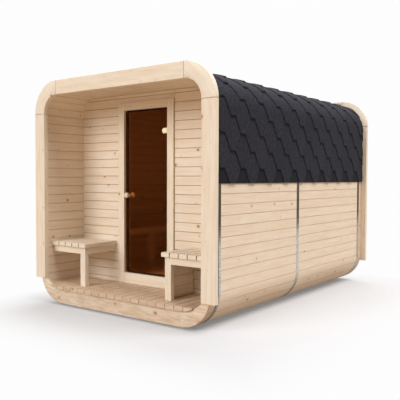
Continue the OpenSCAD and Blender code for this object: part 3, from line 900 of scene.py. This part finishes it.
# %% Painted shadow strip beside the hinges
SHADOW_STRIP_INSET = Vector((0.0, 0.006, 0.001))
SHADOW_STRIP_BACK = Vector((JAMB_GAP, -0.002, 0.0))
joint_low = Vector((jamb_right[1].x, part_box("front_wall_right")[0].y, jamb_right[0].z))
# A black strip is put in the joint beside the hinges as a painted shadow.
boards("door_frame_seal", [(joint_low + SHADOW_STRIP_INSET, jamb_right[1] + SHADOW_STRIP_BACK)], "z", finishes=BLACK_SEAL_AND_SHADE,
       ease=0.001)

# %% Seal and painted shade on the stops
LINING_T, LINING_FRONT, LINING_DEPTH = 0.0015, 0.004, 0.03
left, right = jamb_left[1].x, jamb_right[0].x
bottom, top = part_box("door_threshold")[1].z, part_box("door_head")[0].z
lining = Stock()
# The black angle strips are a rubber seal on the stops and also painted shade there, behind the glass.
for out, y0, y1 in ((STOP_WIDTH, stop_y - LINING_FRONT, stop_y), (0.0, stop_y, stop_y + LINING_DEPTH)):
    for x0, x1, z0, z1, along in (
            (left - out, left + LINING_T, bottom, top, "z"),
            (right - LINING_T, right + out, bottom, top, "z"),
            (left, right, bottom - out, bottom + LINING_T, "x"),
            (left, right, top - LINING_T, top + out, "x")):
        add_bar(lining, (x0, y0, z0), (x1, y1, z1), along, ease=0.0004)
put(lining.mesh("lining"), "door_stop_seal", finishes=BLACK_SEAL_AND_SHADE, slot="spruce_trim")

# %% [markdown]
# ## Bronze glass
# Toughened float glass tinted in the mass with iron and selenium: brown when looked through, with the
# clear reflections of polished glass. A sheet this thin barely bends light, so it is mostly a tinted
# transparent shader, with a little of a brown polished surface for its body and its reflections.

# %% Glass
BODY_SHARE = 0.08


def bronze_glass(tree):
    """Brown tinted glass, with faint smears where hands and cloths have dulled its polish."""
    place = node(tree, "TexCoord").outputs["Object"]
    smears = node(tree, "TexNoise", {"Vector": place, "Scale": 3.0, "Detail": 4.0})
    polish = node(tree, "MapRange", {"Value": smears, "To Min": 0.01, "To Max": 0.06})
    sheet = node(tree, "BsdfPrincipled", {
        "Base Color": colour("#6E3A10"), "Roughness": polish, "IOR": 1.5, "Specular IOR Level": 0.1})
    through = node(tree, "BsdfTransparent", {"Color": colour("#F8E0C8")})
    return node(tree, "MixShader", {0: BODY_SHARE, 1: through, 2: sheet})


def refinish(material, *cad_nodes):
    """CAD nodes whose shapes stay as they are get their finish."""
    for cad_node in cad_nodes:
        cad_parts[cad_node].material_slots[0].material = material
        print(f"{cad_node}: {material.name}")


refinish(finish("bronze_glass", bronze_glass), "door_glass")

# %% [markdown]
# ## Hinges
# Two clamps grip the glass and turn on pins in the knuckles on the jamb. The CAD shapes are right, so
# they stay and only get their finish: satin brass, whose fine brushed lines blur its highlights.

# %% Hinges


def satin_brass(tree):
    """Brushed brass under lacquer: warm, pale, with soft highlights."""
    place = node(tree, "TexCoord").outputs["Object"]
    brushing = node(tree, "TexNoise", {"Vector": place, "Scale": 900.0, "Detail": 2.0})
    rough = node(tree, "MapRange", {"Value": brushing, "To Min": 0.28, "To Max": 0.45})
    return node(tree, "BsdfPrincipled", {
        "Base Color": colour("#EBD9AE"), "Metallic": 1.0, "Roughness": rough})


refinish(finish("satin_brass", satin_brass), "door_hinge_clamps", "door_hinge_knuckles")

# %% [markdown]
# ## Turned knobs
# Each knob is turned from one piece of birch: a foot, a neck and a ball with a flat face. A sphere would
# miss the neck and the face. As on a lathe, the outline is drawn once and carried round the axis,
# outside and inside the glass alike.

# %% Turned birch


def turned_birch(tree):
    """Birch, sanded and oiled: almost white wood with a faint silky figure."""
    place = node(tree, "Mapping", {
        0: node(tree, "TexCoord").outputs["Object"], "Scale": (240.0, 48.0, 240.0)})
    figure = node(tree, "TexNoise", {"Vector": place, "Scale": 1.0, "Detail": 3.0})
    wood = node(tree, "Mix", {
        "Factor": figure, "A": colour("#F3E6D2"), "B": colour("#DCC3A0")}, data_type="RGBA")
    return node(tree, "BsdfPrincipled", {"Base Color": wood, "Roughness": 0.4})


BIRCH = [finish("turned_birch", turned_birch)]
print("knobs:", BIRCH[0].name)

# %% Knobs
glass_low, glass_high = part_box("door_glass")
knob_low, knob_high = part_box("door_knobs")
knob_middle = (knob_low + knob_high) / 2
KNOB_R = (knob_high.x - knob_low.x) / 2
NECK_R, FOOT_R, FOOT_T, NECK_START = 0.008, 0.0108, 0.002, 0.005
EASE_BACK, EASE_IN = 0.0015, 0.003
KNOB_SIDES, BALL_STEPS = 40, 14
FACE_ANGLE = math.radians(135.0)


def knob_outline(length):
    """The knob from the glass to its flat face, as (distance from the glass, radius) places."""
    points = [(0.0, FOOT_R), (FOOT_T, FOOT_R), (NECK_START, NECK_R)]
    middle, start = length + KNOB_R * math.cos(FACE_ANGLE), math.asin(NECK_R / KNOB_R)
    for k in range(BALL_STEPS):
        angle = start + (FACE_ANGLE - start) * k / BALL_STEPS
        points.append((middle - KNOB_R * math.cos(angle), KNOB_R * math.sin(angle)))
    face_r = KNOB_R * math.sin(FACE_ANGLE)
    return points + [(length - EASE_BACK, face_r), (length, face_r - EASE_IN)]


corners, faces = [], []
for side, start_y, far_y in ((-1, glass_low.y, knob_low.y), (1, glass_high.y, knob_high.y)):
    first = len(corners)
    profile = knob_outline(abs(far_y - start_y))
    for distance, radius in profile:
        for k in range(KNOB_SIDES):
            turn = 2 * math.pi * k / KNOB_SIDES
            corners.append((knob_middle.x + radius * math.cos(turn), start_y + side * distance,
                            knob_middle.z + radius * math.sin(turn)))
    rounds = [range(first + r * KNOB_SIDES, first + (r + 1) * KNOB_SIDES) for r in range(len(profile))]
    for near, far in zip(rounds, rounds[1:]):
        faces += [[near[k - 1], near[k], far[k], far[k - 1]] for k in range(KNOB_SIDES)]
    faces += [list(rounds[0]), list(rounds[-1])]
knobs = bpy.data.meshes.new("knobs")
knobs.from_pydata(corners, [], faces)
put(knobs, "turned_door_knobs", "door_knobs", finishes=BIRCH, body="door",
    slot="spruce_trim", smooth=35)

# %% [markdown]
# ## Steel bands
# Three bands of hot-dip galvanised strip hold the barrel. The CAD shape is right and stays. Zinc shows
# its crystals and is bright. Under the roof's edge and round the curve near the ground the bands carry
# a painted reflection: their colour is made dark and brownish, as polished zinc mirrors dark
# surroundings. Beside the front posts they carry a painted shadow of the posts. The stretch between
# stays pale. A texture painted by height would do, and nodes draw it with no image.

# %% Galvanised bands
ZINC_STREAKS_PER_METRE, CRYSTALS_PER_METRE = 26.0, 90.0
# Heights above and below which a dark reflection is painted on the bands, and the width of its edge.
REFLECTION_DARK_ABOVE, REFLECTION_DARK_BELOW, REFLECTION_FADE = 0.78, 0.2, 0.2
# How far behind the front band's edge the posts' painted shadow reaches, and the width of its fade.
POST_SHADE, POST_SHADOW_EDGE = 0.02, 0.004


def galvanised(tree, top, bottom, fade, dirty_before):
    """Galvanised strip with a painted dark reflection above one height and below another, and a painted
    shadow in front of a line.
    """
    place = node(tree, "TexCoord").outputs["Object"]
    streaks = node(tree, "TexNoise", {
        "Vector": place, "Scale": ZINC_STREAKS_PER_METRE, "Detail": 4.0, "Roughness": 0.7})
    depth, height = node(tree, "SeparateXYZ", {0: place}).outputs[1:]
    # The edge between pale and dark is uneven, because the streaks shift the height that it reads.
    uneven = node(tree, "Math", {0: streaks, 1: fade, 2: height}, operation="MULTIPLY_ADD")
    from_middle = node(tree, "Math", {0: uneven, 1: (top + bottom + fade) / 2}, operation="SUBTRACT")
    distance = node(tree, "Math", {0: from_middle}, operation="ABSOLUTE")
    # A dark reflection is painted above one height and below another.
    painted_reflection = node(tree, "MapRange", {
        "Value": distance, "From Min": (top - bottom - fade) / 2, "From Max": (top - bottom + fade) / 2})
    crystals = node(tree, "TexVoronoi", {"Vector": place, "Scale": CRYSTALS_PER_METRE})
    tone = node(tree, "SeparateColor", {0: crystals.outputs["Color"]})
    zinc = node(tree, "Mix", {
        "Factor": tone, "A": colour("#A29E9A"), "B": colour("#D6D3CF")}, data_type="RGBA")
    # A shadow of the front posts is painted on the front band's edge.
    painted_post_shadow = node(tree, "MapRange", {
        "Value": depth, "From Min": dirty_before, "From Max": dirty_before + POST_SHADOW_EDGE,
        "To Min": 0.9, "To Max": 0.0})
    painted_dark = node(tree, "Math", {0: painted_reflection, 1: painted_post_shadow}, operation="MAXIMUM")
    painted_dark_zinc = node(tree, "Mix", {"Factor": painted_dark, "A": zinc, "B": colour("#4E4640")}, data_type="RGBA")
    rough = node(tree, "MapRange", {"Value": streaks, "To Min": 0.25, "To Max": 0.5})
    return node(tree, "BsdfPrincipled", {"Base Color": painted_dark_zinc, "Metallic": 1.0, "Roughness": rough})


refinish(finish("galvanised_strip", galvanised, REFLECTION_DARK_ABOVE, REFLECTION_DARK_BELOW, REFLECTION_FADE,
                dirty_before=band_low.y + POST_SHADE), "steel_bands")

# %% [markdown]
# ## Shingle finish
# Bitumen shingles are faced with crushed slate, which makes them a rough, soft charcoal with a cool
# tinge, a little different from tab to tab. Their cut edges are bare, black bitumen. The grit is a
# millimetre across on the real ones and is drawn about six times as coarse, so that it shows.

# %% Shingle materials


def slate_granules(tree):
    """Fine grit over broader blotches, dimmed where the next course throws its shade."""
    spot = node(tree, "TexCoord").outputs["Object"]
    grit = node(tree, "TexNoise", {"Vector": spot, "Scale": 180.0, "Detail": 2.0})
    blotch = node(tree, "TexNoise", {"Vector": spot, "Scale": 36.0, "Detail": 4.0, "Roughness": 0.7})
    number = node(tree, "Attribute", attribute_name="board").outputs["Fac"]
    shaded = node(tree, "Attribute", attribute_name="crease").outputs["Fac"]
    mixed = node(tree, "Mix", {"Factor": 0.65, "A": grit, "B": blotch})
    share = node(tree, "MapRange", {"Value": mixed, "From Min": 0.32, "From Max": 0.68})
    slate = node(tree, "Mix", {
        "Factor": share, "A": colour("#0E0E12"), "B": colour("#34343D")}, data_type="RGBA")
    dim = node(tree, "Mix", {"Factor": shaded, "A": slate, "B": colour("#0C0C0E")}, data_type="RGBA")
    tone = node(tree, "MapRange", {"Value": number, "To Min": 0.88, "To Max": 1.12})
    toned = node(tree, "VectorMath", {0: dim, "Scale": tone}, operation="SCALE")
    relief = node(tree, "Bump", {"Strength": 0.4, "Distance": 0.001, "Height": grit})
    return node(tree, "BsdfPrincipled", {
        "Base Color": toned, "Roughness": 0.9, "Specular IOR Level": 0.2, "Normal": relief})


SHINGLE = [finish("slate_granule_shingle", slate_granules),
           finish("bare_bitumen_edge", matt_black, "#060607", 0.7, 0.004)]
print("shingle:", [face.name for face in SHINGLE])

# %% [markdown]
# ## Shingles
# The shingles come as strips of tabs that taper to a flat tip. Each course lies on the upper half of
# the one below and is shifted by half a tab, so that its tips close the notches below and long
# six-sided fields show. A bump map would leave the roof's edge smooth. So one tab is drawn flat with
# its real wedge of thickness, set in rows, and wrapped over the roof from the eaves to the ridge.

# %% A shingle tab
TAB_PITCH, TAB_TIP, COURSE = 0.3155, 0.077, 0.148
SHEET, BEVEL, LAP, THIN_END = 0.008, 0.008, 0.0005, 0.0004
SHADE_REACH, SHADE_SHARE = 0.3, 0.7


def flat_sheet(name, spots, dark_from):
    """A flat sheet from (place up the roof, half width, underside, top) spots, shaded from a place."""
    corners, faces, finishes = [], [], []
    for place, (s, half, under, top) in enumerate(spots):
        foot = s - BEVEL if place == 0 else s
        corners += [(s, -half, top), (s, half, top), (foot, half, under), (foot, -half - BEVEL, under)]
    dark = [SHADE_SHARE * max(0.0, min(1.0, (c[0] - dark_from) / (SHADE_REACH * COURSE)))
            for c in corners]
    for r in range(len(spots) - 1):
        for i in range(4):
            j = (i + 1) % 4
            faces.append([4 * r + i, 4 * r + j, 4 * r + 4 + j, 4 * r + 4 + i])
            finishes.append(0 if i == 0 else 1)
    faces += [[3, 2, 1, 0], [4 * len(spots) - 4 + i for i in range(4)]]
    finishes += [1, 1]
    creases = [dark[i] for face in faces for i in face]
    made = bpy.data.meshes.new(name)
    made.from_pydata(corners, [], faces)
    made.attributes.new("crease", "FLOAT", "CORNER").data.foreach_set("value", creases)
    made.polygons.foreach_set("material_index", finishes)
    return made


def tab_mesh():
    """One flat tab with its share of the strip above it; the first axis runs up the roof."""
    tip, notch = TAB_TIP / 2, (TAB_PITCH - TAB_TIP) / 2
    lower, upper = [], []
    for k in range(5):
        s = COURSE * k / 4
        top = 2 * SHEET * (1 - s / (2 * COURSE))
        lower.append((s, tip + (notch - tip) * k / 4, max(top - SHEET, 0.0), top))
        s += COURSE + LAP
        upper.append((s, TAB_PITCH / 2, 0.0, max(2 * SHEET * (1 - s / (2 * COURSE)), THIN_END)))
    return flat_sheet("tab", lower + upper, 2 * COURSE)


print("one tab:", len(tab_mesh().polygons), "faces")

# %% [markdown]
# The field of tabs is laid a little too wide and too long, and then cut flat at the trims, the ridge and
# the eave, as a roofer does with a knife. A starter strip lies under the first course.

# %% Courses
EAVE_TRIM, LAID_AT = 0.016, 0.0015
NOTCH_PLACE = 0.170
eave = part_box("roof_shingles")[0].z


def cut_flat(mesh, cuts):
    """Cuts a mesh at each (place, direction) plane, drops what lies beyond, and closes the cuts."""
    sheet = bmesh.new()
    sheet.from_mesh(mesh)
    for place, direction in cuts:
        cut = bmesh.ops.bisect_plane(
            sheet, geom=sheet.verts[:] + sheet.edges[:] + sheet.faces[:], dist=1e-6,
            plane_co=place, plane_no=direction, clear_outer=True)
        edges = [e for e in cut["geom_cut"] if isinstance(e, bmesh.types.BMEdge)]
        for closed in bmesh.ops.holes_fill(sheet, edges=edges)["faces"]:
            closed.material_index = 1
    sheet.to_mesh(mesh)
    sheet.free()


def roof_side(name, side, seed, *cad_nodes):
    """All the courses on one side of the roof, with the starter strip under them."""
    over_ridge = [(2 * COURSE, roof_high.z + LAID_AT, 1.0)]
    line, length = profile_curve(outline(eave - EAVE_TRIM, CORNERS[:1], LAID_AT) + over_ridge)
    courses = int((length - 2 * COURSE) / COURSE) + 1
    tabs = math.ceil((back_y - front_y) / TAB_PITCH) + 3
    # The row starts two and a half tabs in front of a notch of the first course.
    start = cad_box[0][1] + NOTCH_PLACE - 2.5 * TAB_PITCH
    mesh = tab_mesh()
    mesh.transform(Matrix.Translation((0.0, start, LAID_AT)))
    field = apply_trees(mesh, SHINGLE, [
        (ROW, {"Count": tabs, "Step": (0.0, TAB_PITCH, 0.0), "Seed": seed}),
        (ROW, {"Count": courses, "Step": (COURSE, 0.0, 0.0), "Stagger": (0.0, TAB_PITCH / 2, 0.0),
               "Seed": seed + 1}),
        (WRAP, {"Profile": line})])
    half = (back_y - front_y) / 2
    strip = flat_sheet(
        "starter", [(0.0, half, 0.0, SHEET), (EAVE_TRIM + COURSE, half, 0.0, LAID_AT)], dark_from=-1.0)
    strip.transform(Matrix.Translation((0.0, (front_y + back_y) / 2, 0.0)))
    starter = apply_trees(strip, SHINGLE, [(WRAP, {"Profile": line})])
    bpy.data.objects.remove(line)
    for laid in (field, starter):
        cut_flat(laid, [((0, front_y, 0), (0, -1, 0)), ((0, back_y, 0), (0, 1, 0)),
                        ((0, 0, 0), (1, 0, 0)), ((0, 0, eave), (0, 0, -1))])
        laid.transform(Matrix.Scale(-side, 4, (1, 0, 0)))
    put(field, f"shingles_{name}", *cad_nodes, finishes=SHINGLE, slot="bitumen_shingle")
    put(starter, f"starter_strip_{name}", finishes=SHINGLE, slot="bitumen_shingle")
    print("courses:", courses, "tabs in a course:", tabs)


roof_side("left", -1, 2, "roof_shingles")
roof_side("right", 1, 21)

# %% [markdown]
# Flat caps cover the ridge in a row from front to back, each on the tail of the one before.

# %% Ridge caps
CAP_REACH = 0.125
cap = flat_sheet(
    "cap", [(0.0, CAP_REACH, SHEET, 2 * SHEET), (2 * COURSE, CAP_REACH, 0.0, SHEET)], dark_from=COURSE)
caps = math.ceil((back_y - front_y) / COURSE) + 1
first_place = Matrix.Translation((0.0, front_y, roof_high.z + SHEET))
cap.transform(first_place @ Matrix.Rotation(math.pi / 2, 4, "Z"))
ridge = apply_trees(cap, SHINGLE, [(ROW, {"Count": caps, "Step": (0.0, COURSE, 0.0), "Seed": 7})])
cut_flat(ridge, [((0, back_y, 0), (0, 1, 0))])
put(ridge, "ridge_caps", finishes=SHINGLE, slot="bitumen_shingle")

# %% [markdown]
# ## Inside the room
# Behind the glass lie a boarded floor and one long bench along the left wall, with a backrest. The
# tinted glass shows little of them, but with the door open they are in plain view, so they are made of
# the same boards. So are the joists and bearers under the barrel.

# %% Floor of the room
room_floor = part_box("room_floor")
room_boards = []
half_count = math.ceil(room_floor[1].x / FLOOR_STEP)
for k in range(-half_count, half_count):
    x0 = max(k * FLOOR_STEP + FLOOR_GAP / 2, room_floor[0].x)
    x1 = min((k + 1) * FLOOR_STEP - FLOOR_GAP / 2, room_floor[1].x)
    if x1 - x0 > FLOOR_GAP:
        room_boards.append(((x0, *room_floor[0][1:]), (x1, *room_floor[1][1:])))
boards("room_floor_boards", room_boards, "y", "room_floor", slot="interior_wood", shade=1.0)

# %% Bench, backrest and what lies under the floor
for name, cad_node, along, slot, shade in (
        ("room_bench_slats", "room_bench_seat", "y", "interior_wood", 1.0),
        ("room_bench_rail_board", "room_bench_rail", "y", "interior_wood", 0.0),
        ("room_bench_leg_posts", "room_bench_legs", "z", "interior_wood", 0.0),
        ("room_bench_wall_bars", "room_bench_bars", "x", "interior_wood", 0.0),
        ("room_backrest_slats", "room_backrest_boards", "y", "interior_wood", 0.0),
        ("room_backrest_uprights", "room_backrest_battens", "z", "interior_wood", 0.0),
        ("under_floor_joists", "floor_joists", "y", "spruce", 0.0),
        ("ground_bearers", "bearers", "x", "spruce", 0.0)):
    boards(name, island_boxes(cad_node), along, cad_node, slot=slot, shade=shade)

# %% [markdown]
# ## Stage
# A white studio: an endless floor under a white world. The floor keeps the soft shadow, whole beside
# the walls and fading to plain white further off. More light would whiten it too, but would bleach the
# wood. So what the camera sees of floor and world is made white on its own, by the kind of ray.

# %% What the camera sees
WORLD_SEEN = 0.985
WHITE = colour("#FFFFFF")


def ray_share(tree):
    """One for what the camera sees, straight or by way of metal or glass, and nought for light."""
    path = node(tree, "LightPath")
    seen = node(tree, "Math", {
        0: path.outputs["Is Camera Ray"], 1: path.outputs["Is Glossy Ray"]}, operation="MAXIMUM")
    return node(tree, "Math", {0: seen, 1: path.outputs["Is Transmission Ray"]}, operation="MAXIMUM")


print("plain white:", WORLD_SEEN)

# %% Floor
FLOOR_SIZE = 60.0
FLOOR_LIT, FLOOR_SEEN = "#A8927C", "#CCCBCC"
SHADOW_REACH, SHADOW_SHIFT, PLAIN_SHARE = 0.9, (0.35, -0.3, 0.0), 0.2


def studio_white(tree):
    """Matt white paint that turns to plain white away from the building."""
    share = ray_share(tree)
    shown = node(tree, "Mix", {
        "Factor": share, "A": colour(FLOOR_LIT), "B": colour(FLOOR_SEEN)}, data_type="RGBA")
    matt = node(tree, "BsdfDiffuse", {"Color": shown})
    place = node(tree, "TexCoord").outputs["Object"]
    shifted = node(tree, "VectorMath", {0: place, 1: SHADOW_SHIFT}, operation="SUBTRACT")
    spot = node(tree, "VectorMath", {0: shifted}, operation="ABSOLUTE")
    off = node(tree, "VectorMath", {0: spot, 1: tuple(cad_box[1])}, operation="SUBTRACT")
    sides = node(tree, "SeparateXYZ", {0: off}).outputs
    distance = node(tree, "Math", {0: sides[0], 1: sides[1]}, operation="MAXIMUM")
    fade = node(tree, "MapRange", {
        "Value": distance, "From Max": SHADOW_REACH, "To Min": PLAIN_SHARE},
        interpolation_type="SMOOTHSTEP")
    plain = node(tree, "Math", {0: fade, 1: share}, operation="MULTIPLY")
    glow = node(tree, "Emission", {"Color": WHITE, "Strength": WORLD_SEEN})
    return node(tree, "MixShader", {0: plain, 1: matt, 2: glow})


floor_mesh = bpy.data.meshes.new("studio_floor")
floor_corners = [(x * FLOOR_SIZE, y * FLOOR_SIZE, 0.0) for x, y in ((-1, -1), (1, -1), (1, 1), (-1, 1))]
floor_mesh.from_pydata(floor_corners, [], [[0, 1, 2, 3]])
floor_mesh.materials.append(finish("studio_white", studio_white))
studio_floor = add_object("studio_floor", floor_mesh)
print("floor:", studio_floor.name)

# %% World
WORLD_LIGHT = 0.1
world = bpy.data.worlds.new("studio")
bpy.context.scene.world = world
world.use_nodes = True
sky = world.node_tree
sky.nodes.clear()
strength = node(sky, "Math", {
    0: ray_share(sky), 1: WORLD_SEEN - WORLD_LIGHT, 2: WORLD_LIGHT}, operation="MULTIPLY_ADD")
backdrop = node(sky, "Background", {"Color": WHITE, "Strength": strength})
node(sky, "OutputWorld", {0: backdrop})
print("world:", world.name, "with light", WORLD_LIGHT)

# %% [markdown]
# ## Light
# Three wide soft lamps light the wood at a plain level, at which a colour shows about as it is written.
# Sun lamps are used, because their light is even over a whole building. The last one, from behind on
# the left, only brings the floor's soft shadow forward.

# %% Lamps
LAMP_SOFTNESS = math.radians(40)
# Name, strength, height above the horizon and turn from straight in front, both in degrees.
for name, energy, height, turn in (
        ("front_lamp", 2.05, 29, -10), ("side_lamp", 3.2, 58, 98), ("back_lamp", 1.3, 55, -150)):
    lamp_data = bpy.data.lights.new(name, "SUN")
    lamp_data.energy = energy
    lamp_data.angle = LAMP_SOFTNESS
    add_object(name, lamp_data).rotation_euler = (math.radians(90 - height), 0.0, math.radians(turn))
    print(name, energy)

# %% [markdown]
# ## Camera
# A camera at chest height looks at the front corner, almost level, with a lens a little longer than
# normal, so that the upright lines stay nearly upright.

# %% Camera
CAMERA_PLACE = (3.8087, -5.4129, 1.2866)
PITCH, TURN, ROLL = math.radians(2.235), math.radians(36.84), math.radians(0.17)
camera_data = bpy.data.cameras.new("camera")
camera_data.lens = 52.19
camera_data.sensor_width = 36.0
camera_data.clip_end = 200.0
camera = add_object("camera", camera_data)
camera.location = CAMERA_PLACE
camera.rotation_euler = (Matrix.Rotation(TURN, 3, "Z") @ Matrix.Rotation(math.pi / 2 - PITCH, 3, "X")
                         @ Matrix.Rotation(ROLL, 3, "Z")).to_euler()
bpy.context.scene.camera = camera
bpy.context.scene.view_settings.view_transform = "Standard"
print("camera:", camera_data.lens, "mm lens")
